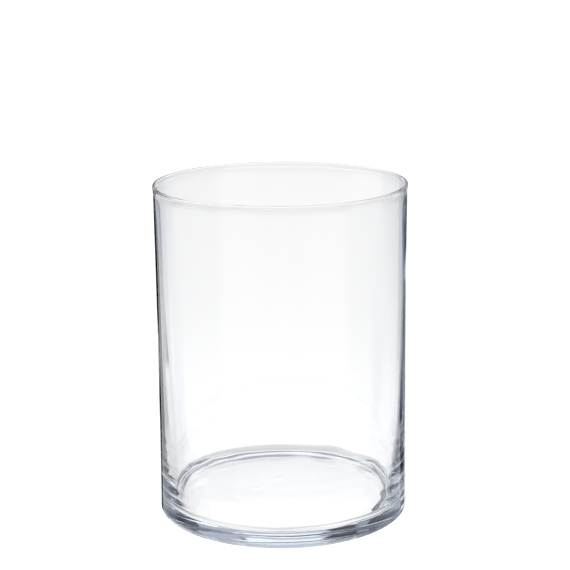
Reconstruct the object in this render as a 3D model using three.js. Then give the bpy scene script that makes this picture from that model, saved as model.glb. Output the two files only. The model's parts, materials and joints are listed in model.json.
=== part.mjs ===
// Glass cylinder vase: one piece of clear glass, open at the top.
// Millimetres, +Z up. The origin is the centre of the foot, so the vase stands on z = 0.
import * as THREE from 'three';

// Driving dimensions
const height = 251;
const bodyRadius = 94.5;
const rimInset = 0.44;
const waistDepth = 0.76;
const wallThickness = 2.2;
const heelThickness = 5.8;
const heelFade = 44;
const heelLevel = 13;
const baseThickness = 9;
const floorRadius = 78.5;
const floorCrown = 1.4;
const flatFloorRadius = 30;
const filletHeight = 7.5;
const cornerRadius = 3;
const footInnerRadius = 80.5;
const pushUpDepth = 2;
const rimBeadRadius = 1.4;
const rimBeadProud = 0.5;

// Facets
const turns = 96;
const pushUpSteps = 4;
const cornerSteps = 4;
const outerWallSteps = 5;
const rimSteps = 8;
const innerWallSteps = 7;
const filletSteps = 5;

// Outer radius at height z. The wall leans in a little to the rim and has a slight waist half way up.
function outerRadius(z) {
  const t = z / height;
  return bodyRadius - rimInset * t - waistDepth * 4 * t * (1 - t);
}

// Wall thickness at height z. The glass thickens towards the heel.
function thickness(z) {
  return wallThickness + heelThickness * Math.exp((heelLevel - z) / heelFade);
}

// One point for each step from start to end, both ends included. pointAt takes 0 to 1.
function steps(count, pointAt) {
  return Array.from({ length: count + 1 }, (_, i) => pointAt(i / count));
}

function arc(centreX, centreY, radius, from, to, count) {
  return steps(count, (t) => {
    const angle = from + (to - from) * t;
    return new THREE.Vector2(centreX + radius * Math.cos(angle), centreY + radius * Math.sin(angle));
  });
}

// Underside, from the axis out: a shallow push-up that ends at the flat foot ring.
function pushUp() {
  return steps(pushUpSteps, (t) => {
    const share = Math.sqrt(t);
    return new THREE.Vector2(footInnerRadius * share, pushUpDepth * (1 - share ** 4));
  });
}

// Rounded lower corner, from the flat foot ring up to the wall.
function lowerCorner() {
  const centreX = outerRadius(cornerRadius) - cornerRadius;
  return arc(centreX, cornerRadius, cornerRadius, -Math.PI / 2, 0, cornerSteps);
}

// Outer wall from above the corner up to the rim bead.
function outerWall(top) {
  const points = steps(outerWallSteps, (t) => {
    const z = cornerRadius + (top - cornerRadius) * t;
    return new THREE.Vector2(outerRadius(z), z);
  });
  return points.slice(1);
}

// Fire-polished rim: a round bead, slightly proud of the outer wall.
function rimBead(centreX, centreY) {
  return arc(centreX, centreY, rimBeadRadius, -Math.PI / 6, Math.PI * 7 / 6, rimSteps);
}

// Inner wall from under the rim down to the fillet, with closer steps towards the heel.
function innerWall(top, bottom) {
  return steps(innerWallSteps, (t) => {
    const z = bottom + (top - bottom) * (1 - t) ** 2;
    return new THREE.Vector2(outerRadius(z) - thickness(z), z);
  });
}

// Inside fillet from the wall down to the floor, a quarter of an ellipse.
function fillet(wallX, wallZ) {
  const points = steps(filletSteps, (t) => {
    const angle = t * Math.PI / 2;
    const x = floorRadius + (wallX - floorRadius) * Math.cos(angle);
    return new THREE.Vector2(x, wallZ - filletHeight * Math.sin(angle));
  });
  return points.slice(1);
}

// Inside floor: a slight rise from the fillet to a flat disc in the middle.
function floor() {
  const level = baseThickness + floorCrown;
  return [new THREE.Vector2(flatFloorRadius, level), new THREE.Vector2(0, level)];
}

function glassBody() {
  const beadX = outerRadius(height) + rimBeadProud - rimBeadRadius;
  const beadZ = height - rimBeadRadius;
  const wallTop = beadZ - rimBeadRadius * 2;
  const filletTop = baseThickness + filletHeight;
  const profile = [
    ...pushUp(),
    ...lowerCorner(),
    ...outerWall(wallTop),
    ...rimBead(beadX, beadZ),
    ...innerWall(wallTop, filletTop),
    ...fillet(outerRadius(filletTop) - thickness(filletTop), filletTop),
    ...floor(),
  ];
  const geometry = new THREE.LatheGeometry(profile, turns);
  geometry.rotateX(Math.PI / 2);
  return geometry;
}

const clearGlass = new THREE.MeshStandardMaterial({ color: 0xe6edf2, roughness: 0.03, metalness: 0 });

const vase = new THREE.Group();
const body = new THREE.Mesh(glassBody(), clearGlass);
body.name = 'glass_body';
vase.add(body);

export default vase;
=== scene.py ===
# Clear glass cylinder vase on a pale floor, in a soft studio. Metres throughout.
import json
import math

import bpy
import numpy as np
from mathutils import Matrix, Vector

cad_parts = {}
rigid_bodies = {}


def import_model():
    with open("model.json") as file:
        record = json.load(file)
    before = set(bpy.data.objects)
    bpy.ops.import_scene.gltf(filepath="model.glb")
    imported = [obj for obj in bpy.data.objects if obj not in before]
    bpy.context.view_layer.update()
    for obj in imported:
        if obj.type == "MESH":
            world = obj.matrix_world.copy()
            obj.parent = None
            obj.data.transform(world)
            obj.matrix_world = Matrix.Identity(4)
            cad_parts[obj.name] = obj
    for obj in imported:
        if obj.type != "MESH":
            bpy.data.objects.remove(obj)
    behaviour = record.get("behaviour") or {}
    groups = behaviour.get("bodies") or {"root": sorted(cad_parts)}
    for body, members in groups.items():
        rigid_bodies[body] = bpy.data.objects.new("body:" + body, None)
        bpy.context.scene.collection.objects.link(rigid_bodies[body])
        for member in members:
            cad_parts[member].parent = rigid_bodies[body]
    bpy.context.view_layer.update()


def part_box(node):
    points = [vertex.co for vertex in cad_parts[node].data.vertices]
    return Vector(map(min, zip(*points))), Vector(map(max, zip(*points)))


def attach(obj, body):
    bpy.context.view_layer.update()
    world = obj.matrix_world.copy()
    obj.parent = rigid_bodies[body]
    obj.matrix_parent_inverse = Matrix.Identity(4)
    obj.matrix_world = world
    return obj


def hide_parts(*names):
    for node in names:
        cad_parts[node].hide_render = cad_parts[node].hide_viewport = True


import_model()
mm = 0.001


def linear(hexColour):
    # sRGB hex to linear: ((c + 0.055) / 1.055) to the power 2.4, or c / 12.92 near black
    channels = [int(hexColour[i:i + 2], 16) / 255 for i in (1, 3, 5)]
    light = [c / 12.92 if c <= 0.04045 else ((c + 0.055) / 1.055) ** 2.4 for c in channels]
    return (*light, 1.0)


def addNode(tree, kind, settings=None, inputs=None):
    # settings are the node's own properties; an input is a value, or a socket to link from
    node = tree.nodes.new(kind)
    for name, value in (settings or {}).items():
        setattr(node, name, value)
    for name, value in (inputs or {}).items():
        if isinstance(value, bpy.types.NodeSocket):
            tree.links.new(value, node.inputs[name])
        else:
            node.inputs[name].default_value = value
    return node


# the vase: one gather of clear glass, thin at the rim and thick in the heel
vase = dict(
    rimInset=0.44 * mm,         # the wall leans in this much from heel to rim
    waist=0.76 * mm,            # and is this much narrower half way up
    wall=2.2 * mm,
    heelExtra=5.8 * mm,         # the wall thickens by this at heelLevel
    heelFade=44 * mm,
    heelLevel=13 * mm,
    baseThickness=9 * mm,
    floorRadius=78.5 * mm,
    floorCrown=1.4 * mm,
    filletHeight=7.5 * mm,
    cornerRadius=3.0 * mm,
    footInner=80.5 * mm,
    pushUp=2.0 * mm,
    beadRadius=1.4 * mm,
    beadProud=0.5 * mm,
    turns=340,                  # faces around
    rows=dict(underside=62, foot=8, corner=16, outerWall=60, bead=26, innerWall=64, fillet=24, floor=22),
    easeRows=3,                 # rows over which one zone's waves give way to the next zone's
    seed=7,                     # of the unevenness that hand and mould leave
    # depth, how many waves are summed, ranges of whole waves around and of pitch upwards
    waves=dict(
        ovality=(0.04 * mm, 3, (2, 3), (600 * mm, 900 * mm)),
        outerSkin=(0.02 * mm, 8, (5, 14), (120 * mm, 400 * mm)),
        innerSkin=(0.03 * mm, 8, (3, 9), (120 * mm, 400 * mm)),
        cords=(0.012 * mm, 10, (14, 34), (300 * mm, 900 * mm)),     # narrow and upright
        ringDrift=(1.0, 5, (1, 5), (60 * mm, 200 * mm)),            # radians that the heel's rings wander
        fold=(0.15 * mm, 9, (3, 16), (40 * mm, 120 * mm)),
        sag=(0.04 * mm, 6, (1, 6), (40 * mm, 120 * mm)),
        rim=(0.10 * mm, 5, (2, 7), (200 * mm, 900 * mm)),
    ),
    ringDepth=0.05 * mm,        # rings left where the glass ran into the heel
    ringPitch=9 * mm,
    foldSideways=0.5,           # of the fillet's waves, the share that also goes outwards
    sagStart=0.25,              # of the floor's radius, inside which it lies still
    swirlTurn=42,               # degrees from +X, where the gather folded and the fillet is roughest
    swirlWidth=24,
    swirlGain=2.5,
    # small dents left by the mould plate under the base: x, y, width and depth
    marks=[(-4 * mm, 22 * mm, 3.0 * mm, 0.12 * mm), (-21 * mm, 1 * mm, 2.2 * mm, 0.08 * mm)],
    wornTop=0.35 * mm,          # the foot ring, rubbed on tables, is scuffed below this
    wornFull=0.1 * mm,
    scuffRoughness=0.22,
    scuffGrain=1.5 * mm,
    peelPitch=9 * mm,           # the skin of the glass where it touched the mould
    peelDepth=0.0012 * mm,
    depthColour="#cfe0f0",      # what a thick layer tends to
    depthDensity=2.4,           # how fast, per metre
)
_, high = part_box("glass_body")
height = high.z
bodyRadius = high.x - vase["beadProud"] + vase["rimInset"]


def outerRadius(z):
    # a straight lean plus a parabola that is deepest half way up
    t = z / height
    return bodyRadius - vase["rimInset"] * t - vase["waist"] * 4 * t * (1 - t)


def wallThickness(z):
    # even higher up, and growing as e to the minus z towards the heel
    return vase["wall"] + vase["heelExtra"] * np.exp((vase["heelLevel"] - z) / vase["heelFade"])


def steps(count):
    # count shares from 0 up to, not including, 1
    return np.linspace(0, 1, count, endpoint=False)


def vaseSection():
    # half section from the axis under the base, out, up, over the rim and back down to the axis inside,
    # and the name of the zone that each point is in
    v, rows = vase, vase["rows"]
    cornerX = outerRadius(v["cornerRadius"]) - v["cornerRadius"]
    beadX = outerRadius(height) + v["beadProud"] - v["beadRadius"]
    beadZ = height - v["beadRadius"]
    wallTop = beadZ - 2 * v["beadRadius"]
    filletTop = v["baseThickness"] + v["filletHeight"]
    wallX = outerRadius(filletTop) - wallThickness(filletTop)

    t = steps(rows["underside"])                # push-up: a dome, 1 minus t to the power 4
    underside = v["footInner"] * t, v["pushUp"] * (1 - t ** 4)
    t = steps(rows["foot"])                     # foot: a flat ring
    foot = v["footInner"] + (cornerX - v["footInner"]) * t, 0 * t
    a = (steps(rows["corner"]) - 1) * math.pi / 2       # corner: a quarter circle
    corner = cornerX + v["cornerRadius"] * np.cos(a), v["cornerRadius"] * (1 + np.sin(a))
    z = v["cornerRadius"] + (wallTop - v["cornerRadius"]) * steps(rows["outerWall"])
    outerWall = outerRadius(z), z
    a = -math.pi / 6 + steps(rows["bead"]) * math.pi * 4 / 3        # bead: two thirds of a circle
    bead = beadX + v["beadRadius"] * np.cos(a), beadZ + v["beadRadius"] * np.sin(a)
    z = filletTop + (wallTop - filletTop) * (1 - steps(rows["innerWall"])) ** 1.5   # closer rows low down
    innerWall = outerRadius(z) - wallThickness(z), z
    a = steps(rows["fillet"]) * math.pi / 2     # fillet: a quarter ellipse
    fillet = (v["floorRadius"] + (wallX - v["floorRadius"]) * np.cos(a),
              filletTop - v["filletHeight"] * np.sin(a))
    t = 1 - np.linspace(0, 1, rows["floor"])    # floor: a crown, 1 minus t squared
    floor = v["floorRadius"] * t, v["baseThickness"] + v["floorCrown"] * (1 - t ** 2)

    parts = dict(underside=underside, foot=foot, corner=corner, outerWall=outerWall, bead=bead,
                 innerWall=innerWall, fillet=fillet, floor=floor)
    r = np.concatenate([part[0] for part in parts.values()])
    z = np.concatenate([part[1] for part in parts.values()])
    zone = np.concatenate([np.full(len(part[0]), name) for name, part in parts.items()])
    return r, z, zone


def waves(u, z, depth, count, around, pitch, draw):
    # depth times a sum of sin(n u + 2 pi z / p + phase), with n whole, from the range around, p from the
    # range pitch and either sign, divided by the root of half the count
    n = draw.integers(around[0], around[1] + 1, count)
    p = draw.uniform(pitch[0], pitch[1], count) * draw.choice([-1, 1], count)
    phase = draw.uniform(0, 2 * math.pi, count)
    angle = n[:, None, None] * u + 2 * math.pi * z / p[:, None, None] + phase[:, None, None]
    return depth * (np.sin(angle).sum(axis=0) / math.sqrt(count / 2))


def share(zone, names):
    # 1 on the rows of the named zones, easing to 0 either side, as a running mean
    ease = vase["easeRows"]
    window = 2 * ease + 1
    on = np.isin(zone, names).astype(float)
    return np.convolve(np.pad(on, ease, mode="edge"), np.ones(window) / window, mode="valid")[:, None]


def vaseSurface(r, z, zone, turns):
    # the section turned about +Z, x = r cos u and y = r sin u, with waves added to r and z
    v = vase
    draw = np.random.default_rng(v["seed"])
    u = np.linspace(0, 2 * math.pi, turns, endpoint=False)[None, :]
    z = np.repeat(z[:, None], turns, axis=1)
    r = np.repeat(r[:, None], turns, axis=1)
    outer = share(zone, ["corner", "outerWall", "bead"])
    inner = share(zone, ["bead", "innerWall", "fillet"])
    fillet = share(zone, ["fillet"])
    floor = share(zone, ["floor"]) * np.clip(r / (v["floorRadius"] * v["sagStart"]), 0, 1)
    bead = share(zone, ["bead"])
    away = (u - math.radians(v["swirlTurn"]) + math.pi) % (2 * math.pi) - math.pi
    swirl = 1 + v["swirlGain"] * np.exp(-(away / math.radians(v["swirlWidth"])) ** 2)
    heel = np.exp(-np.clip(z - v["heelLevel"], 0, None) / v["heelFade"])
    wave = {name: waves(u, z, *shape, draw) for name, shape in v["waves"].items()}

    rings = v["ringDepth"] * heel * swirl * np.sin(2 * math.pi * z / v["ringPitch"] + wave["ringDrift"])
    fold = wave["fold"] * swirl * fillet
    r = r + wave["ovality"] * np.maximum(outer, inner) + wave["outerSkin"] * outer
    r = r + (wave["innerSkin"] + wave["cords"] + rings) * inner * (1 - bead) + v["foldSideways"] * fold
    z = z + fold + wave["sag"] * floor + wave["rim"] * bead
    x, y = r * np.cos(u), r * np.sin(u)
    for markX, markY, width, depth in v["marks"]:       # each a Gaussian hollow
        near = np.exp(-((x - markX) ** 2 + (y - markY) ** 2) / width ** 2)
        z = z + share(zone, ["underside"]) * depth * near
    return np.stack([x, y, z], axis=-1)


def lathedMesh(name, points):
    # rings of points joined by four-sided faces; the first and last rows are on the axis, one vertex each
    rows, turns = points.shape[:2]
    rings = points[1:-1].reshape(-1, 3)
    verts = np.concatenate([rings, points[0, :1], points[-1, :1]])
    i, j = np.meshgrid(np.arange(rows - 3), np.arange(turns), indexing="ij")
    k = (j + 1) % turns
    quads = np.stack([i * turns + j, i * turns + k, (i + 1) * turns + k, (i + 1) * turns + j], -1)
    around = np.arange(turns)
    after = (around + 1) % turns
    last = (rows - 3) * turns
    fans = np.concatenate([
        np.stack([np.full(turns, len(rings)), after, around], -1),
        np.stack([np.full(turns, len(rings) + 1), last + around, last + after], -1),
    ])
    mesh = bpy.data.meshes.new(name)
    mesh.from_pydata(verts.tolist(), [], quads.reshape(-1, 4).tolist() + fans.tolist())
    mesh.polygons.foreach_set("use_smooth", np.ones(len(mesh.polygons), bool))
    mesh.update()
    obj = bpy.data.objects.new(name, mesh)
    bpy.context.scene.collection.objects.link(obj)
    return obj


def firePolishedGlass():
    # clear soda-lime glass, blown in a mould and flame polished: sharp and see-through, faintly cool where
    # it is deep, with a barely uneven skin, and frosted by wear on the foot ring and in the mould marks
    material = bpy.data.materials.new("fire_polished_soda_lime_glass")
    material.use_nodes = True
    tree = material.node_tree
    tree.nodes.clear()
    place = addNode(tree, "ShaderNodeTexCoord")
    axes = addNode(tree, "ShaderNodeSeparateXYZ", inputs={"Vector": place.outputs["Object"]})
    foot = addNode(tree, "ShaderNodeMapRange", inputs={
        "Value": axes.outputs["Z"], "From Min": vase["wornTop"], "From Max": vase["wornFull"]})
    worn = foot.outputs["Result"]
    for markX, markY, width, _ in vase["marks"]:
        away = addNode(tree, "ShaderNodeVectorMath", {"operation": "DISTANCE"}, {
            0: place.outputs["Object"], 1: (markX, markY, vase["pushUp"])})
        near = addNode(tree, "ShaderNodeMapRange", inputs={
            "Value": away.outputs["Value"], "From Min": width, "From Max": width / 2})
        either = addNode(tree, "ShaderNodeMath", {"operation": "MAXIMUM"}, {
            0: worn, 1: near.outputs["Result"]})
        worn = either.outputs[0]
    grain = addNode(tree, "ShaderNodeTexNoise", inputs={
        "Vector": place.outputs["Object"], "Scale": 1 / vase["scuffGrain"], "Detail": 4.0})
    scuff = addNode(tree, "ShaderNodeMapRange", inputs={
        "Value": grain.outputs["Fac"], "From Min": 0.4, "From Max": 0.65, "To Max": vase["scuffRoughness"]})
    rough = addNode(tree, "ShaderNodeMath", {"operation": "MULTIPLY"}, {0: worn, 1: scuff.outputs["Result"]})
    peel = addNode(tree, "ShaderNodeTexNoise", inputs={
        "Vector": place.outputs["Object"], "Scale": 1 / vase["peelPitch"], "Detail": 1.0})
    skin = addNode(tree, "ShaderNodeBump", inputs={
        "Height": peel.outputs["Fac"], "Strength": 1.0, "Distance": vase["peelDepth"]})
    glass = addNode(tree, "ShaderNodeBsdfPrincipled", inputs={
        "Base Color": linear("#ffffff"), "Roughness": rough.outputs[0], "IOR": 1.52,
        "Transmission Weight": 1.0, "Normal": skin.outputs["Normal"]})
    depth = addNode(tree, "ShaderNodeVolumeAbsorption", inputs={
        "Color": linear(vase["depthColour"]), "Density": vase["depthDensity"]})
    addNode(tree, "ShaderNodeOutputMaterial", inputs={
        "Surface": glass.outputs["BSDF"], "Volume": depth.outputs["Volume"]})
    return material


r, z, zone = vaseSection()
body = lathedMesh("vase_body", vaseSurface(r, z, zone, vase["turns"]))
body.data.materials.append(firePolishedGlass())
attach(body, "root")
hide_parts("glass_body")
print("vase body:", len(body.data.polygons), "faces")


# the studio: a white table and backdrop in a dim room, with dark flags that draw the edges of the glass
studio = dict(
    floorSize=30.0,             # metres
    floorGap=0.2 * mm,
    floorGlow=0.9,              # a lightbox table, so that it comes out white around the glass
    toothPitch=0.6 * mm,
    toothDepth=0.05 * mm,
    # colour of table and room at elevations in degrees, from straight down to straight up
    room=[(-90, "#f0f2f6"), (-30, "#ffffff"), (-22, "#ffffff"), (-16, "#fcfdff"), (-10.5, "#b4bac8"),
          (-6.5, "#22304a"), (3, "#4c586b"), (8, "#283a5a"), (26, "#0e1a34"), (60, "#8f9ab2")],
    # azimuth from +Y, positive to +X, and half width; lowest and highest elevation; soft edge, all in
    # degrees; light at the lowest and at the highest elevation; tint
    panels=dict(
        backTable=(0, 14, -90, -32, 1.5, 0.50, 0.80, "#ffffff"),
        backdrop=(1, 14, -32, 10, 1.5, 1.13, 0.80, "#ffffff"),
        backdropShade=(0, 14, 10, 24, 1.5, 0.69, 0.71, "#ebeff8"),
        backLamp=(0, 13, 24, 35, 1.5, 1.2, 1.2, "#f0f6ff"),
        ceiling=(0, 25, 35, 55, 2.0, 0.9, 0.8, "#ffffff"),
        windowLeft=(-18.5, 6.5, -3, 17, 1.0, 0.8, 1.4, "#ffffff"),
        windowRight=(20, 8, -3, 17, 1.0, 0.6, 1.05, "#ffffff"),
        windowRightTop=(23, 9, 17, 35, 1.0, 0.62, 0.62, "#e0e7f5"),
        lampRight=(40, 18, 10, 17, 1.0, 1.8, 1.8, "#ffffff"),
        lampLeft=(-98, 33, 14, 24, 2.0, 1.4, 2.1, "#ffffff"),
        sideRight=(80, 50, -18, -7, 3.0, 0.60, 0.42, "#e6edfa"),
        tableRight=(52, 16, -24, -18, 2.0, 1.14, 1.2, "#e6edf9"),
        tableShade=(31, 13, -50, -24, 1.5, 0.05, 0.16, "#a9b8de"),
        tableFar=(-42, 24, -23, -17.5, 3.0, 0.85, 0.78, "#f2f5fb"),
        slitLeft=(-28, 3, 9, 25, 1.0, 0.42, 0.42, "#d2def5"),
        flagLeft=(-20.5, 4.5, -23, -3, 0.7, 0.0, 0.0, "#ffffff"),
        flagLeftTop=(-20.5, 4.5, 17, 24, 0.7, 0.06, 0.06, "#a9bdee"),
        flagLeftInner=(-14.6, 2.7, -18, -4, 0.5, 0.0, 0.0, "#ffffff"),
        flagRight=(22.5, 2.8, -18, -4, 0.7, 0.14, 0.10, "#e4ecf8"),
        flagRightInner=(18, 2, -13, -4, 0.7, 0.03, 0.03, "#ffffff"),
        flagRightLow=(31, 7.5, -24, -8, 1.5, 0.08, 0.36, "#a9bdee"),
        keyLamp=(180, 55, 17, 35, 3.0, 1.6, 1.7, "#ffffff"),
        tableBehind=(150, 55, -50, -30, 5.0, 1.6, 1.6, "#ffffff"),
        backRing=(-147, 82, -16, -6, 5.0, 0.88, 0.76, "#ffffff"),
        farBackdrop=(138, 20, -30, -2, 9.0, 1.1, 0.8, "#ffffff"),
        sideBackdrop=(-90, 18, -14, 9, 5.0, 0.92, 0.85, "#ffffff"),
        flagSide=(-69, 8, -33, -17, 3.0, 0.45, 0.45, "#d4def2"),
    ),
)


def mattPaper():
    # white studio paper: matt, with a fine tooth
    material = bpy.data.materials.new("matt_white_paper")
    material.use_nodes = True
    tree = material.node_tree
    tree.nodes.clear()
    place = addNode(tree, "ShaderNodeTexCoord")
    tooth = addNode(tree, "ShaderNodeTexNoise", inputs={
        "Vector": place.outputs["Object"], "Scale": 1 / studio["toothPitch"], "Detail": 3.0})
    shade = addNode(tree, "ShaderNodeMapRange", inputs={
        "Value": tooth.outputs["Fac"], "From Min": 0.3, "From Max": 0.7, "To Min": 0.86, "To Max": 0.92})
    raised = addNode(tree, "ShaderNodeBump", inputs={
        "Height": tooth.outputs["Fac"], "Strength": 0.2, "Distance": studio["toothDepth"]})
    paper = addNode(tree, "ShaderNodeBsdfPrincipled", inputs={
        "Base Color": shade.outputs["Result"], "Roughness": 0.9, "Normal": raised.outputs["Normal"],
        "Emission Color": linear("#ffffff"), "Emission Strength": studio["floorGlow"]})
    addNode(tree, "ShaderNodeOutputMaterial", inputs={"Surface": paper.outputs["BSDF"]})
    return material


def makeFloor():
    # a flat sheet just under the vase
    half = studio["floorSize"] / 2
    drop = -studio["floorGap"]
    mesh = bpy.data.meshes.new("floor")
    corners = [(-half, -half, drop), (half, -half, drop), (half, half, drop), (-half, half, drop)]
    mesh.from_pydata(corners, [], [(0, 1, 2, 3)])
    mesh.materials.append(mattPaper())
    floor = bpy.data.objects.new("floor", mesh)
    bpy.context.scene.collection.objects.link(floor)
    # in and through the glass the lower half of the tent stands for the table, with its own shading
    floor.visible_transmission = False
    floor.visible_glossy = False


def makeTent():
    # light by direction: azimuth is the arc tangent of x over y and elevation the arc sine of z, in degrees.
    # The room comes first, then each panel over what is behind it, and plain white where it is seen directly
    world = bpy.data.worlds.new("studio_tent")
    bpy.context.scene.world = world
    world.use_nodes = True
    tree = world.node_tree
    tree.nodes.clear()
    place = addNode(tree, "ShaderNodeTexCoord")
    axes = addNode(tree, "ShaderNodeSeparateXYZ", inputs={"Vector": place.outputs["Generated"]})
    turn = addNode(tree, "ShaderNodeMath", {"operation": "ARCTAN2"}, {
        0: axes.outputs["X"], 1: axes.outputs["Y"]})
    turn = addNode(tree, "ShaderNodeMath", {"operation": "DEGREES"}, {0: turn.outputs[0]})
    rise = addNode(tree, "ShaderNodeMath", {"operation": "ARCSINE"}, {0: axes.outputs["Z"]})
    rise = addNode(tree, "ShaderNodeMath", {"operation": "DEGREES"}, {0: rise.outputs[0]})

    colour = linear(studio["room"][0][1])
    for (start, _), (end, after) in zip(studio["room"], studio["room"][1:]):
        rising = addNode(tree, "ShaderNodeMapRange", inputs={
            "Value": rise.outputs[0], "From Min": start, "From Max": end})
        layer = addNode(tree, "ShaderNodeMix", {"data_type": "RGBA"}, {
            0: rising.outputs["Result"], 6: colour, 7: linear(after)})
        colour = layer.outputs[2]

    for azimuth, half, bottom, top, edge, lowLight, highLight, tint in studio["panels"].values():
        away = addNode(tree, "ShaderNodeMath", {"operation": "SUBTRACT"}, {0: turn.outputs[0], 1: azimuth})
        away = addNode(tree, "ShaderNodeMath", {"operation": "WRAP"}, {
            0: away.outputs[0], 1: 180.0, 2: -180.0})
        away = addNode(tree, "ShaderNodeMath", {"operation": "ABSOLUTE"}, {0: away.outputs[0]})
        cover = 1.0
        for value, start, end in ((away, half + edge, half - edge), (rise, bottom - edge, bottom + edge),
                                  (rise, top + edge, top - edge)):
            inside = addNode(tree, "ShaderNodeMapRange", {"interpolation_type": "SMOOTHSTEP"}, {
                "Value": value.outputs[0], "From Min": start, "From Max": end})
            both = addNode(tree, "ShaderNodeMath", {"operation": "MULTIPLY"}, {
                0: cover, 1: inside.outputs["Result"]})
            cover = both.outputs[0]
        fade = addNode(tree, "ShaderNodeMapRange", inputs={
            "Value": rise.outputs[0], "From Min": bottom, "From Max": top,
            "To Min": lowLight, "To Max": highLight})
        lit = addNode(tree, "ShaderNodeVectorMath", {"operation": "SCALE"}, {
            0: linear(tint)[:3], "Scale": fade.outputs["Result"]})
        panel = addNode(tree, "ShaderNodeMix", {"data_type": "RGBA"}, {
            0: cover, 6: colour, 7: lit.outputs[0]})
        colour = panel.outputs[2]

    direct = addNode(tree, "ShaderNodeLightPath")
    seen = addNode(tree, "ShaderNodeMix", {"data_type": "RGBA"}, {
        0: direct.outputs["Is Camera Ray"], 6: colour, 7: linear("#ffffff")})
    glow = addNode(tree, "ShaderNodeBackground", inputs={"Color": seen.outputs[2], "Strength": 1.0})
    addNode(tree, "ShaderNodeOutputWorld", inputs={"Surface": glow.outputs["Background"]})


# a long lens, a little above the rim, looking down on the vase
camera = dict(
    place=(0, -1.1937, 0.4652),
    pitch=13.77,                # degrees down
    yaw=0.138,
    roll=-0.61,
    sensor=36,
    lens=103.6,
    reach=50,
)


def makeCamera():
    data = bpy.data.cameras.new("studio_camera")
    data.sensor_width = camera["sensor"]
    data.lens = camera["lens"]
    data.clip_end = camera["reach"]
    obj = bpy.data.objects.new("studio_camera", data)
    bpy.context.scene.collection.objects.link(obj)
    obj.location = camera["place"]
    turned = (Matrix.Rotation(math.radians(-camera["yaw"]), 4, "Z")
              @ Matrix.Rotation(math.radians(90 - camera["pitch"]), 4, "X")
              @ Matrix.Rotation(math.radians(camera["roll"]), 4, "Z"))
    obj.rotation_euler = turned.to_euler()
    bpy.context.scene.camera = obj


makeFloor()
makeTent()
makeCamera()
scene = bpy.context.scene
scene.view_settings.view_transform = "Standard"
scene.cycles.max_bounces = 32
scene.cycles.transmission_bounces = 32
scene.cycles.glossy_bounces = 16
scene.cycles.sample_clamp_indirect = 0
scene.cycles.blur_glossy = 0
print("studio: floor, tent and camera")
